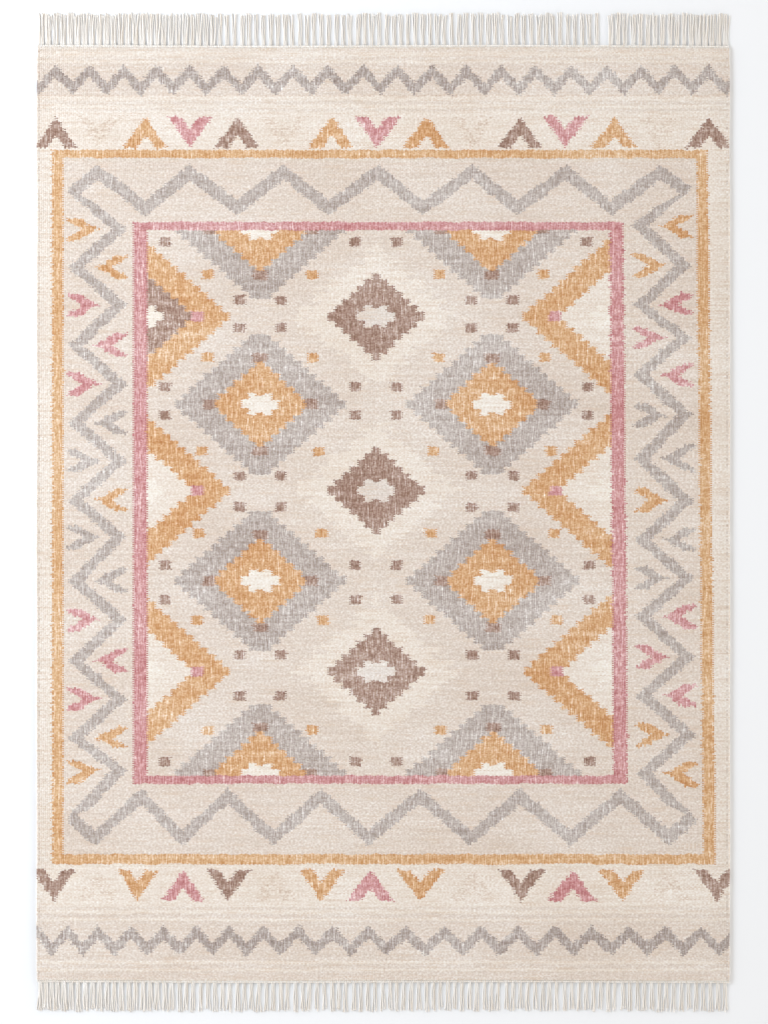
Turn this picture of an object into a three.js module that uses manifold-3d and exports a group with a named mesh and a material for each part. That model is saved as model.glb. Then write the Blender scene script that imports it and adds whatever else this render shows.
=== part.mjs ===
// A hand-woven kilim rug lying flat on the floor: one woven cloth, with its warp ends
// left as a fringe of locks past a twined row at each end.
// Millimetres. X runs across the rug, Y along its warps from foot to head, Z up.
// The origin is on the floor under the middle of the rug, fringes included.

import * as THREE from "three";
import { mergeVertices } from "three/addons/utils/BufferGeometryUtils.js";
import Module from "manifold-3d";

const wasm = await Module();
wasm.setup();

// Driving sizes
const RUG_WIDTH = 1600;
const WOVEN_LENGTH = 2162;
const HEAD_FRINGE_LENGTH = 77;
const FOOT_FRINGE_LENGTH = 69;
const CLOTH_THICKNESS = 5;
const END_ROW_WIDTH = 6;
const END_ROW_HEIGHT = 4.6;
const PART_GAP = 0.3;
const LOCK_HEIGHT = 3.4;

// Where things lie along Y, with the whole length centred on the origin
const TOTAL_LENGTH = FOOT_FRINGE_LENGTH + WOVEN_LENGTH + HEAD_FRINGE_LENGTH;
const FOOT_EDGE = -TOTAL_LENGTH / 2 + FOOT_FRINGE_LENGTH;
const HEAD_EDGE = TOTAL_LENGTH / 2 - HEAD_FRINGE_LENGTH;
const HALF_WIDTH = RUG_WIDTH / 2;

// The two side edges as they lie: how far each stands in from the full width,
// at places along the woven length counted from the foot
const SIDE_EDGES = [
  { along: 0.0, leftInset: 1.2, rightInset: 1.6 },
  { along: 0.07, leftInset: 0.2, rightInset: 0.9 },
  { along: 0.16, leftInset: 1.6, rightInset: 0.2 },
  { along: 0.27, leftInset: 0.5, rightInset: 0.8 },
  { along: 0.38, leftInset: 0.9, rightInset: 0.1 },
  { along: 0.49, leftInset: 0.0, rightInset: 0.9 },
  { along: 0.6, leftInset: 1.4, rightInset: 0.3 },
  { along: 0.71, leftInset: 0.6, rightInset: 1.1 },
  { along: 0.82, leftInset: 1.8, rightInset: 0.4 },
  { along: 0.9, leftInset: 0.7, rightInset: 1.9 },
  { along: 0.96, leftInset: 1.5, rightInset: 0.6 },
  { along: 1.0, leftInset: 2.2, rightInset: 2.4 },
];

// The two end edges bow in and out a little across the width
const END_BOW = 0.9;
const END_BOW_WAVE = 1100;

// Section through one side of the cloth, counted in from its edge: the outermost warps,
// which the wefts wrap into a firmer bead, down to where the flat weave starts
const SELVEDGE_SECTION = [
  { inset: 0.0, under: 2.2, top: 3.8 },
  { inset: 0.6, under: 0.9, top: 4.9 },
  { inset: 1.9, under: 0.0, top: 5.6 },
  { inset: 3.4, under: 0.0, top: 5.9 },
  { inset: 6.4, under: 0.0, top: 5.6 },
  { inset: 10.0, under: 0.0, top: CLOTH_THICKNESS },
];
const FIELD_COLUMNS = 8;
const CLOTH_STATIONS = 29;

// The weave lies flat but not dead level: low swells left from the loom
const SWELL_HEIGHT = 0.35;
const SWELL_ACROSS = 235;
const SWELL_ALONG = 310;

// Stretches of the fringe from left to right: where each runs, how many locks it holds
// and how broad a lock is. Space between two stretches is a place where the fringe parts.
const HEAD_STRETCHES = [
  { from: -797, to: -530, locks: 16, lockWidth: 12.4 },
  { from: -530, to: -385, locks: 9, lockWidth: 11.2 },
  { from: -385, to: 115, locks: 30, lockWidth: 8.2 },
  { from: 115, to: 500, locks: 23, lockWidth: 8.8 },
  { from: 516, to: 703, locks: 11, lockWidth: 9.4 },
  { from: 703, to: 797, locks: 6, lockWidth: 12.8 },
];
const FOOT_STRETCHES = [
  { from: -797, to: -745, locks: 4, lockWidth: 10.2 },
  { from: -745, to: -480, locks: 16, lockWidth: 9.6 },
  { from: -480, to: 140, locks: 37, lockWidth: 8.2 },
  { from: 140, to: 560, locks: 25, lockWidth: 7.8 },
  { from: 560, to: 797, locks: 14, lockWidth: 8.6 },
];

// One lock from its root to its cut tip: how far out, its breadth as a share of its
// full breadth, its height as a share of the root's, and how much of its sway shows
const LOCK_SECTIONS = [
  { out: 0.0, breadth: 1.3, height: 1.0, sway: 0.0 },
  { out: 0.13, breadth: 0.95, height: 1.0, sway: 0.15 },
  { out: 0.42, breadth: 0.9, height: 0.92, sway: 0.75 },
  { out: 0.72, breadth: 1.0, height: 0.84, sway: 1.0 },
  { out: 1.0, breadth: 1.1, height: 0.62, sway: 0.7 },
];
const LOCK_WIDEST = 1.1;
const LOCK_TOP_SHARE = 0.62;
const LOCK_ROOT_DEPTH = 2.5;
const LOCK_LENGTH_SPREAD = 5;
const LOCK_MIN_SPACE = 0.9;

// How a lock uses the free room beside it: in where it is rooted, in its sway half way
// out and in its lean at the tip. Together they keep it clear of its neighbours.
const ROOM_SHARES = { place: 0.25, sway: 0.35, lean: 0.4 };

// Section through the twined row at each end, counted back from the cloth's outer edge
const END_ROW_SECTION = [
  { back: 0.0, height: 0.0 },
  { back: 0.0, height: 3.6 },
  { back: 0.22 * END_ROW_WIDTH, height: END_ROW_HEIGHT },
  { back: 0.78 * END_ROW_WIDTH, height: END_ROW_HEIGHT },
  { back: END_ROW_WIDTH, height: 3.4 },
  { back: END_ROW_WIDTH, height: 0.0 },
];
const END_ROW_STATIONS = 25;

// Steps that never repeat evenly, so that neighbours differ
const SPREAD_STEPS = { place: 0.618034, sway: 0.754878, lean: 0.56984, length: 0.438579 };

// A value from -1 to 1 for lock number i, different for each thing it is used for
function spread(i, step) {
  const share = (i * step) % 1;
  return 2 * share - 1;
}

// Value of a named column of a table at a place along it, eased between its rows
function tableValue(rows, place, column) {
  const next = Math.max(1, rows.findIndex((row) => row.along >= place));
  const before = rows[next - 1];
  const after = rows[next];
  const share = (place - before.along) / (after.along - before.along);
  return THREE.MathUtils.lerp(before[column], after[column], THREE.MathUtils.smoothstep(share, 0, 1));
}

// How far an end edge bows at x
function endBow(x) {
  return END_BOW * Math.sin((2 * Math.PI * x) / END_BOW_WAVE);
}

// A closed body through rings of points. A ring's first half runs along one side of its
// section and the second half runs back along the other, so the two ends are filled
// between the halves.
function loft(rings) {
  const count = rings[0].length;
  const points = rings.flat();
  const indices = [];
  const addQuad = (a, b, c, d) => indices.push(a, b, c, a, c, d);
  for (let ring = 0; ring + 1 < rings.length; ring += 1) {
    const near = ring * count;
    const far = near + count;
    for (let i = 0; i < count; i += 1) {
      const j = (i + 1) % count;
      addQuad(near + i, near + j, far + j, far + i);
    }
  }
  const last = (rings.length - 1) * count;
  for (let i = 0; i + 1 < count / 2; i += 1) {
    const back = count - 1 - i;
    addQuad(back, back - 1, i + 1, i);
    addQuad(last + i, last + i + 1, last + back - 1, last + back);
  }
  if (enclosedVolume(points, indices) < 0) {
    indices.reverse();
  }
  const geometry = new THREE.BufferGeometry().setFromPoints(points);
  geometry.setIndex(indices);
  return geometry;
}

// The volume inside a closed set of faces, negative where they point inwards
function enclosedVolume(points, indices) {
  let volume = 0;
  for (let i = 0; i < indices.length; i += 3) {
    const [a, b, c] = indices.slice(i, i + 3).map((index) => points[index]);
    volume += new THREE.Vector3().crossVectors(b, c).dot(a) / 6;
  }
  return volume;
}

// A surface as a solid for joining, and back
function toSolid(geometry) {
  const merged = mergeVertices(geometry);
  return new wasm.Manifold(
    new wasm.Mesh({
      numProp: 3,
      vertProperties: new Float32Array(merged.attributes.position.array),
      triVerts: new Uint32Array(merged.index.array),
    }),
  );
}

function toGeometry(solid) {
  const mesh = solid.getMesh();
  const geometry = new THREE.BufferGeometry();
  geometry.setAttribute("position", new THREE.BufferAttribute(mesh.vertProperties, 3));
  geometry.setIndex(new THREE.BufferAttribute(mesh.triVerts, 1));
  geometry.computeVertexNormals();
  return geometry;
}

// The cloth: a thin flat body with a bead along each side, flat underneath
function makeCloth() {
  const foot = FOOT_EDGE + END_ROW_WIDTH + PART_GAP;
  const head = HEAD_EDGE - END_ROW_WIDTH - PART_GAP;
  const fieldInset = SELVEDGE_SECTION.at(-1).inset;
  const rings = [];
  for (let station = 0; station < CLOTH_STATIONS; station += 1) {
    const along = station / (CLOTH_STATIONS - 1);
    const left = -HALF_WIDTH + tableValue(SIDE_EDGES, along, "leftInset");
    const right = HALF_WIDTH - tableValue(SIDE_EDGES, along, "rightInset");
    const columns = SELVEDGE_SECTION.map(({ inset, under, top }) => ({ x: left + inset, under, top }));
    for (let column = 1; column <= FIELD_COLUMNS; column += 1) {
      const share = column / (FIELD_COLUMNS + 1);
      const x = THREE.MathUtils.lerp(left + fieldInset, right - fieldInset, share);
      const swell = Math.sin(x / SWELL_ACROSS) * Math.cos((along * WOVEN_LENGTH) / SWELL_ALONG);
      columns.push({ x, under: 0, top: CLOTH_THICKNESS + SWELL_HEIGHT * swell });
    }
    for (const { inset, under, top } of SELVEDGE_SECTION.toReversed()) {
      columns.push({ x: right - inset, under, top });
    }
    const place = (x, z) => new THREE.Vector3(x, THREE.MathUtils.lerp(foot, head, along) + endBow(x), z);
    const face = columns.map(({ x, top }) => place(x, top));
    const underside = columns.map(({ x, under }) => place(x, under));
    rings.push([...face, ...underside.reverse()]);
  }
  return loft(rings);
}

// The twined row that holds the wefts in, and that the fringe hangs from.
// outward is 1 at the head and -1 at the foot.
function makeEndRow(edge, outward) {
  const along = edge > 0 ? 1 : 0;
  const left = -HALF_WIDTH + tableValue(SIDE_EDGES, along, "leftInset");
  const right = HALF_WIDTH - tableValue(SIDE_EDGES, along, "rightInset");
  const rings = [];
  for (let station = 0; station < END_ROW_STATIONS; station += 1) {
    const x = THREE.MathUtils.lerp(left, right, station / (END_ROW_STATIONS - 1));
    const y = edge + endBow(x);
    rings.push(END_ROW_SECTION.map(({ back, height }) => new THREE.Vector3(x, y - outward * back, height)));
  }
  return loft(rings);
}

// Every lock of one fringe: where its root lies, how broad it is and how it lies
function lockPlaces(stretches) {
  const places = [];
  for (const { from, to, locks, lockWidth } of stretches) {
    const pitch = (to - from) / locks;
    const room = (pitch - LOCK_WIDEST * lockWidth - LOCK_MIN_SPACE) / 2;
    const rootRoom = pitch - 2 * ROOM_SHARES.place * room - LOCK_MIN_SPACE;
    for (let i = 0; i < locks; i += 1) {
      const number = places.length + 1;
      const share = (use) => ROOM_SHARES[use] * room * spread(number, SPREAD_STEPS[use]);
      places.push({
        x: from + (i + 0.5) * pitch + share("place"),
        breadth: lockWidth,
        rootBreadth: Math.min(lockWidth * LOCK_SECTIONS[0].breadth, rootRoom),
        sway: share("sway"),
        lean: share("lean"),
        shorter: (LOCK_LENGTH_SPREAD * (1 + spread(number, SPREAD_STEPS.length))) / 2,
      });
    }
  }
  return places;
}

// One lock: a soft four-sided ribbon of warp yarns, flat on the floor all along
function makeLock(place, edge, outward, fringeLength) {
  const length = fringeLength - END_BOW - place.shorter;
  const root = edge + endBow(place.x);
  const rings = LOCK_SECTIONS.map(({ out, breadth, height, sway }, section) => {
    const x = place.x + place.sway * sway + place.lean * out;
    const y = root + outward * (section === 0 ? -LOCK_ROOT_DEPTH : out * length);
    const half = (section === 0 ? place.rootBreadth : place.breadth * breadth) / 2;
    const top = LOCK_HEIGHT * height;
    return [
      new THREE.Vector3(x - half, y, 0),
      new THREE.Vector3(x - half * LOCK_TOP_SHARE, y, top),
      new THREE.Vector3(x + half * LOCK_TOP_SHARE, y, top),
      new THREE.Vector3(x + half, y, 0),
    ];
  });
  return loft(rings);
}

function makeFringe(stretches, edge, outward, fringeLength) {
  const locks = lockPlaces(stretches).map((place) => makeLock(place, edge, outward, fringeLength));
  return toGeometry(wasm.Manifold.union([makeEndRow(edge, outward), ...locks].map(toSolid)));
}

function addPiece(group, name, geometry, color, roughness) {
  const material = new THREE.MeshStandardMaterial({ color, roughness, metalness: 0 });
  const mesh = new THREE.Mesh(geometry, material);
  mesh.name = name;
  group.add(mesh);
}

const rug = new THREE.Group();
addPiece(rug, "woven_cloth", makeCloth(), 0xe6dcd2, 0.95);
addPiece(rug, "head_fringe", makeFringe(HEAD_STRETCHES, HEAD_EDGE, 1, HEAD_FRINGE_LENGTH), 0xf1ede7, 0.9);
addPiece(rug, "foot_fringe", makeFringe(FOOT_STRETCHES, FOOT_EDGE, -1, FOOT_FRINGE_LENGTH), 0xf1ede7, 0.9);

export default rug;
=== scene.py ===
# %% [markdown]
# # A hand-woven kilim rug
# A kilim is a flat rug without pile. Strong cotton warps run its length, and thick wool
# wefts pass over and under them, beaten down until they hide the warps. What is left to
# see is a ribbed cloth whose pattern changes colour bead by bead, with the warp ends as a
# fringe. This lesson builds the cloth, its bound sides, its two fringes and their finish,
# around solids that already have the rug's size and place.

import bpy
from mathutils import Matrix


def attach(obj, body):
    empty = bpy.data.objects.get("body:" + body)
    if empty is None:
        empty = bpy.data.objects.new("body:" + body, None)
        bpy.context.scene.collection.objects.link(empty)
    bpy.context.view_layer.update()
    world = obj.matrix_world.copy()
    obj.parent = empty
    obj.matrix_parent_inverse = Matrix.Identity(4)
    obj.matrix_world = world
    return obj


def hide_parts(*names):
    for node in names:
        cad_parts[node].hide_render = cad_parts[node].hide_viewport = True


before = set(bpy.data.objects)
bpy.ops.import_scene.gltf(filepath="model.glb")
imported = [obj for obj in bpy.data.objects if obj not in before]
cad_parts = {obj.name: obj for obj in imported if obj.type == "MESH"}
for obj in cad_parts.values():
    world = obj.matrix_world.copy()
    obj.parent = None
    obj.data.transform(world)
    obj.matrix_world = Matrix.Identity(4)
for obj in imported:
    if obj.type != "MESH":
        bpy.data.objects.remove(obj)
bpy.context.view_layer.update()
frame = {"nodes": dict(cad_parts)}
print("solids:", ", ".join(frame["nodes"]))

# %% [markdown]
# All sizes are written in millimetres, as a weaver would measure them, and turned to
# metres only where a mesh is made. The rug lies on the floor with its middle at the
# origin, and its warps run along Y from the foot to the head.

# %% Sizes of the rug
import math

import bpy
import numpy as np

MM = 0.001
RUG_WIDTH = 1600
HALF_WIDTH = RUG_WIDTH / 2
HEAD_EDGE = 1077
FOOT_EDGE = -1085
WOVEN_LENGTH = HEAD_EDGE - FOOT_EDGE
CLOTH_THICKNESS = 5
END_ROW_WIDTH = 6
END_ROW_HEIGHT = 4.6
PART_GAP = 0.3
END_BOW = 0.9
END_BOW_WAVE = 1100
SWELL_HEIGHT = 0.35
SWELL_ACROSS = 235
SWELL_ALONG = 310


def end_bow(x):
    return END_BOW * np.sin(2 * math.pi * x / END_BOW_WAVE)


def get_points(piece):
    points = np.empty(3 * len(piece.data.vertices))
    piece.data.vertices.foreach_get("co", points)
    return points.reshape(-1, 3) / MM


def set_points(piece, points):
    piece.data.vertices.foreach_set("co", (points * MM).ravel())
    piece.data.update()


print("woven length:", WOVEN_LENGTH, "mm")

# %% [markdown]
# The side edges of a hand-woven rug are never quite straight. The solid already has its
# unevenness, so the finer cloth reads each edge off it: the outermost points, one for each
# place along the rug, with straight runs between them.

# %% Side edges
RIM_WIDTH = 4
STATION_SPACE = 20

solid = get_points(frame["nodes"]["woven_cloth"])


def edge_line(side):
    rim = solid[side * solid[:, 0] > HALF_WIDTH - RIM_WIDTH]
    rim = rim[np.argsort(rim[:, 1])]
    stations = np.split(rim, np.flatnonzero(np.diff(rim[:, 1]) > STATION_SPACE) + 1)
    return (
        np.array([station[:, 1].mean() for station in stations]),
        np.array([side * (side * station[:, 0]).max() for station in stations]),
    )


EDGES = {-1: edge_line(-1), 1: edge_line(1)}


def edge_at(side, y):
    return np.interp(y, *EDGES[side])


print("edge stations:", len(EDGES[1][0]))

# %% [markdown]
# ## The woven cloth
# The cloth could be a plain slab with the ribs as bump, but light that rakes across a
# kilim catches on real ribs. So a grid gets two columns of faces for each warp, is
# extruded to a closed sheet, and then every second column is lifted into a rib, above
# and below, because the wefts swell out over a warp on both faces.

# %% A closed sheet
RIB_COUNT = 346
RIB_PITCH = RUG_WIDTH / RIB_COUNT
CLOTH_ROWS = 66

cloth_foot = FOOT_EDGE + END_ROW_WIDTH + PART_GAP
cloth_head = HEAD_EDGE - END_ROW_WIDTH - PART_GAP
cloth_length = cloth_head - cloth_foot


def deselect():
    bpy.ops.object.select_all(action="DESELECT")


def start_piece(name, scale=(1, 1, 1)):
    """Name a new primitive and put its place, turn and size into its mesh."""
    piece = bpy.context.object
    piece.name = name
    piece.data.name = name
    piece.scale = scale
    bpy.ops.object.transform_apply(location=True, rotation=True, scale=True)
    return piece


def edit_all():
    bpy.ops.object.mode_set(mode="EDIT")
    bpy.ops.mesh.select_all(action="SELECT")


def face_outwards():
    """Point every face outwards and leave edit mode."""
    bpy.ops.mesh.select_all(action="SELECT")
    bpy.ops.mesh.normals_make_consistent(inside=False)
    bpy.ops.object.mode_set(mode="OBJECT")


deselect()
bpy.ops.mesh.primitive_grid_add(
    x_subdivisions=2 * RIB_COUNT,
    y_subdivisions=CLOTH_ROWS,
    size=1,
    location=(0, (cloth_foot + cloth_head) / 2 * MM, CLOTH_THICKNESS * MM),
)
cloth = start_piece("kilim_cloth", scale=(RUG_WIDTH * MM, cloth_length * MM, 1))
edit_all()
bpy.ops.mesh.extrude_region_move(TRANSFORM_OT_translate={"value": (0, 0, -CLOTH_THICKNESS * MM)})
face_outwards()
print("cloth faces:", len(cloth.data.polygons))

# %% Ribs, swells and uneven edges
RIB_RELIEF = 0.4
CREST_DROP = 0.6
RIB_CREASE = 50
TUCK = 2.4
EDGE_EASE = 40

points = get_points(cloth)
x, y, z = points.T
column = np.rint((x + HALF_WIDTH) / (RIB_PITCH / 2))
crest = np.mod(column, 2)
on_top = z > CLOTH_THICKNESS / 2
swell = SWELL_HEIGHT * np.sin(x / SWELL_ACROSS) * np.cos((y - cloth_foot) / SWELL_ALONG)
edge = np.where(x > 0, edge_at(1, y), edge_at(-1, y))
near_edge = np.clip((np.abs(x) - HALF_WIDTH + EDGE_EASE) / EDGE_EASE, 0, 1)
shift = (edge - np.sign(x) * (HALF_WIDTH + TUCK)) * near_edge
top = CLOTH_THICKNESS + swell + RIB_RELIEF * (crest - CREST_DROP)
under = RIB_RELIEF * (1 - crest)
set_points(cloth, np.column_stack([x + shift, y + end_bow(x), np.where(on_top, top, under)]))
bpy.ops.object.shade_smooth_by_angle(angle=math.radians(RIB_CREASE))
print("cloth is", round(np.ptp(get_points(cloth)[:, 2]), 2), "mm thick over its ribs")

# %% [markdown]
# ## The bound sides
# Where a weft turns back it wraps the two outermost warps, so each side is a firm little
# cord with one lump for every turn. One turn is modelled and an array repeats it along the
# side. A long cylinder with bump would look smooth from the side, where the turns show.

# %% Bound sides
TURN_PITCH = 5.1
TURN_SIDES = 8
TURN_CUT = TURN_PITCH / 5
SIDE_CORD_WIDTH = 6.6
SIDE_CORD_HEIGHT = 5.9
GROOVE_DEPTH = 0.14
GROOVE_REACH = 0.1
TURN_LEAN = 0.35
MERGE_GAP = 0.01
CORD_CREASE = 60

turns = int(cloth_length / TURN_PITCH)


def apply_modifiers(piece):
    bpy.context.view_layer.objects.active = piece
    for modifier in list(piece.modifiers):
        bpy.ops.object.modifier_apply(modifier=modifier.name)


def close_ends():
    edit_all()
    bpy.ops.mesh.remove_doubles(threshold=MERGE_GAP * MM)
    bpy.ops.mesh.select_all(action="DESELECT")
    bpy.ops.mesh.select_non_manifold()
    bpy.ops.mesh.edge_face_add()
    face_outwards()
    bpy.ops.object.shade_smooth_by_angle(angle=math.radians(CORD_CREASE))


def cut_across(y):
    """In edit mode, cut a ring of edges into the mesh at this place along the rug."""
    bpy.ops.mesh.select_all(action="SELECT")
    bpy.ops.mesh.bisect(plane_co=(0, y * MM, 0), plane_no=(0, 1, 0))


def make_bound_side(side, name):
    deselect()
    bpy.ops.mesh.primitive_cylinder_add(
        vertices=TURN_SIDES,
        radius=1 * MM,
        depth=TURN_PITCH * MM,
        end_fill_type="NOTHING",
        rotation=(math.pi / 2, 0, 0),
    )
    turn = start_piece(name)
    edit_all()
    cut_across(-TURN_CUT)
    cut_across(TURN_CUT)
    bpy.ops.object.mode_set(mode="OBJECT")
    array = turn.modifiers.new("turns", "ARRAY")
    array.count = turns
    array.use_relative_offset = False
    array.use_constant_offset = True
    array.constant_offset_displace = (0, TURN_PITCH * MM, 0)
    array.use_merge_vertices = True
    array.merge_threshold = MERGE_GAP * MM
    apply_modifiers(turn)
    close_ends()
    x, y, z = get_points(turn).T
    share = (y + TURN_PITCH / 2) / TURN_PITCH
    in_groove = np.abs(share - np.rint(share)) < GROOVE_REACH
    size = 1 - GROOVE_DEPTH * in_groove
    along = cloth_foot + (y + TURN_PITCH / 2) * cloth_length / (turns * TURN_PITCH)
    middle = edge_at(side, along) - side * SIDE_CORD_WIDTH / 2
    lean = TURN_LEAN * TURN_PITCH * x * side
    set_points(
        turn,
        np.column_stack(
            [
                middle + x * size * SIDE_CORD_WIDTH / 2,
                np.clip(along + lean, cloth_foot, cloth_head) + end_bow(middle),
                (1 + z * size) * SIDE_CORD_HEIGHT / 2,
            ]
        ),
    )
    return turn


left_side = make_bound_side(-1, "left_selvedge")
right_side = make_bound_side(1, "right_selvedge")
print("turns on a side:", turns)

# %% [markdown]
# ## The twined rows
# Before the rug is cut from the loom, two cotton strands are twisted round each other
# along each end, catching a warp in every turn, so that the wefts can't slide off. The
# two strands are a pair of circles that a screw winds along the end.

# %% Twined rows
TWINE_PITCH = 2 * RIB_PITCH
TWINE_SIDES = 6
TWINE_STEPS = 8
STRAND_SHARE = 0.7
TWINE_OVERLAP = 1.2
ROW_INSET = 1


def make_twined_row(edge, outward, name):
    twists = int(RUG_WIDTH / TWINE_PITCH) - 1
    deselect()
    strand = {"vertices": TWINE_SIDES, "radius": STRAND_SHARE * MM, "rotation": (0, math.pi / 2, 0)}
    bpy.ops.mesh.primitive_circle_add(location=(0, 0, 0), **strand)
    row = start_piece(name)
    edit_all()
    bpy.ops.transform.translate(value=(0, (1 - STRAND_SHARE) * MM, 0))
    bpy.ops.mesh.primitive_circle_add(location=(0, (STRAND_SHARE - 1) * MM, 0), **strand)
    bpy.ops.object.mode_set(mode="OBJECT")
    screw = row.modifiers.new("twist", "SCREW")
    screw.axis = "X"
    screw.angle = 2 * math.pi
    screw.steps = screw.render_steps = TWINE_STEPS
    screw.iterations = twists
    screw.screw_offset = TWINE_PITCH * MM
    apply_modifiers(row)
    close_ends()
    x, y, z = get_points(row).T
    left = edge_at(-1, edge) + ROW_INSET
    right = edge_at(1, edge) - ROW_INSET
    x = left + (x - x.min()) / np.ptp(x) * (right - left)
    y = edge + end_bow(x) + (y - outward) * (END_ROW_WIDTH + TWINE_OVERLAP) / 2
    set_points(row, np.column_stack([x, y, (1 + z) * END_ROW_HEIGHT / 2]))
    return row


# %% [markdown]
# ## The fringe
# The warp ends lie in small locks of three to five yarns. Each yarn is a thin cylinder
# with a few rings. It is modelled once and copied, because there are hundreds and each has
# only a few dozen faces. The locks lie where the solids' locks lie, so the tables and the
# rule below are the ones the solids follow.

# %% Where the locks lie


def table(columns, *rows):
    """Rows of numbers or colours under these column names."""
    return [dict(zip(columns.split(), row)) for row in rows]


HEAD_FRINGE_LENGTH = 77
FOOT_FRINGE_LENGTH = 69
HEAD_STRETCHES = table(
    "start end locks lock_width",
    (-797, -530, 16, 12.4),
    (-530, -385, 9, 11.2),
    (-385, 115, 30, 8.2),
    (115, 500, 23, 8.8),
    (516, 703, 11, 9.4),
    (703, 797, 6, 12.8),
)
FOOT_STRETCHES = table(
    "start end locks lock_width",
    (-797, -745, 4, 10.2),
    (-745, -480, 16, 9.6),
    (-480, 140, 37, 8.2),
    (140, 560, 25, 7.8),
    (560, 797, 14, 8.6),
)
LOCK_OUT = (0.0, 0.13, 0.42, 0.72, 1.0)
LOCK_SWAY = (0.0, 0.15, 0.75, 1.0, 0.7)
LOCK_WIDEST = 1.1
LOCK_MIN_SPACE = 0.9
LOCK_LENGTH_SPREAD = 5
ROOM_SHARES = {"place": 0.25, "sway": 0.35, "lean": 0.4}
SPREAD_STEPS = {"place": 0.618034, "sway": 0.754878, "lean": 0.56984, "length": 0.438579}


def spread(number, use):
    return 2 * ((number * SPREAD_STEPS[use]) % 1) - 1


def lock_places(stretches):
    places = []
    for stretch in stretches:
        pitch = (stretch["end"] - stretch["start"]) / stretch["locks"]
        room = (pitch - LOCK_WIDEST * stretch["lock_width"] - LOCK_MIN_SPACE) / 2
        for i in range(stretch["locks"]):
            number = len(places) + 1
            share = {use: ROOM_SHARES[use] * room * spread(number, use) for use in ROOM_SHARES}
            places.append(
                {
                    "x": stretch["start"] + (i + 0.5) * pitch + share["place"],
                    "width": stretch["lock_width"],
                    "sway": share["sway"],
                    "lean": share["lean"],
                    "shorter": LOCK_LENGTH_SPREAD * (1 + spread(number, "length")) / 2,
                }
            )
    return places


print("locks:", len(lock_places(HEAD_STRETCHES)), "and", len(lock_places(FOOT_STRETCHES)))

# %% One yarn
YARN_WIDTH = 2.6
YARN_SIDES = 6
YARN_RINGS = 9
ROOT_DEPTH = 2.5

deselect()
bpy.ops.mesh.primitive_cylinder_add(
    vertices=YARN_SIDES, radius=0.5 * MM, depth=1 * MM, rotation=(math.pi / 2, 0, 0)
)
one_yarn = start_piece("one_yarn")
edit_all()
for cut in range(1, YARN_RINGS):
    cut_across(cut / YARN_RINGS - 0.5)
face_outwards()
yarn_points = get_points(one_yarn)
yarn_faces = [list(face.vertices) for face in one_yarn.data.polygons]
bpy.data.objects.remove(one_yarn)
print("faces of a yarn:", len(yarn_faces))

# %% [markdown]
# A yarn keeps its place in its lock, but each has its own slight wave, ends a little
# sooner or later than its neighbours, and comes down from the twined row to lie on the
# floor, every second one on top of those beside it. The locks open out towards their cut
# ends. A seeded source of chance gives the same fringe on every run.

# %% Fringes
LOCK_OPENING = (0.95, 0.95, 1.1, 1.3, 1.5)
YARN_WAVE = 1.1
WAVES_ON_A_YARN = (0.7, 1.5)
YARN_SPLAY = 1.8
YARN_LENGTH_SPREAD = 7
ROOT_HEIGHT = 2.3
COME_DOWN = 0.3
THICK_OR_THIN = (1.0, 1.35)
YARN_FLATNESS = 0.65
YARN_RISE = 0.9


def lay_yarns(places, edge, outward, fringe_length, seed):
    chance = np.random.default_rng(seed)
    points = []
    for place in places:
        count = round(place["width"] / YARN_WIDTH)
        for i in range(count):
            out = yarn_points[:, 1] + 0.5
            offset = ((i + 0.5) / count - 0.5) * place["width"]
            breadth = np.interp(out, LOCK_OUT, LOCK_OPENING)
            sway = np.interp(out, LOCK_OUT, LOCK_SWAY)
            waves = chance.uniform(*WAVES_ON_A_YARN) * out + chance.uniform()
            wave = YARN_WAVE * np.sin(2 * math.pi * waves)
            splay = YARN_SPLAY * chance.uniform(-1, 1) * out
            width = YARN_WIDTH * chance.uniform(*THICK_OR_THIN)
            thickness = YARN_FLATNESS * width
            length = fringe_length - END_BOW - place["shorter"]
            length = length - YARN_LENGTH_SPREAD * chance.uniform() ** 2
            middle = place["x"] + place["sway"] * sway + place["lean"] * out + offset * breadth
            middle = middle + (wave + splay) * out
            lie = np.clip(out / COME_DOWN, 0, 1)
            height = thickness / 2 + (ROOT_HEIGHT - thickness / 2) * (1 - lie) ** 2
            height = height + YARN_RISE * (i % 2) * lie
            x = middle + yarn_points[:, 0] * width
            y = edge + end_bow(middle) + outward * (out * (length + ROOT_DEPTH) - ROOT_DEPTH)
            points.append(np.column_stack([x, y, height + yarn_points[:, 2] * thickness]))
    return points


def make_fringe(stretches, edge, outward, fringe_length, seed, name):
    yarns = lay_yarns(lock_places(stretches), edge, outward, fringe_length, seed)
    mesh = bpy.data.meshes.new(name + "_yarns")
    corners = len(yarn_points)
    faces = [[corner + corners * n for corner in face] for n in range(len(yarns)) for face in yarn_faces]
    mesh.from_pydata(np.concatenate(yarns) * MM, [], faces)
    mesh.polygons.foreach_set("use_smooth", np.ones(len(faces), dtype=bool))
    strands = bpy.data.objects.new(name + "_yarns", mesh)
    bpy.context.collection.objects.link(strands)
    if outward < 0:
        mesh.flip_normals()
    fringe = make_twined_row(edge, outward, name)
    deselect()
    strands.select_set(True)
    fringe.select_set(True)
    bpy.context.view_layer.objects.active = fringe
    bpy.ops.object.join()
    print(name, "has", len(yarns), "yarns and", len(fringe.data.polygons), "faces")
    return fringe


HEAD_SEED, FOOT_SEED = 11, 23
head = make_fringe(HEAD_STRETCHES, HEAD_EDGE, 1, HEAD_FRINGE_LENGTH, HEAD_SEED, "head_warp_fringe")
foot = make_fringe(FOOT_STRETCHES, FOOT_EDGE, -1, FOOT_FRINGE_LENGTH, FOOT_SEED, "foot_warp_fringe")

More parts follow.
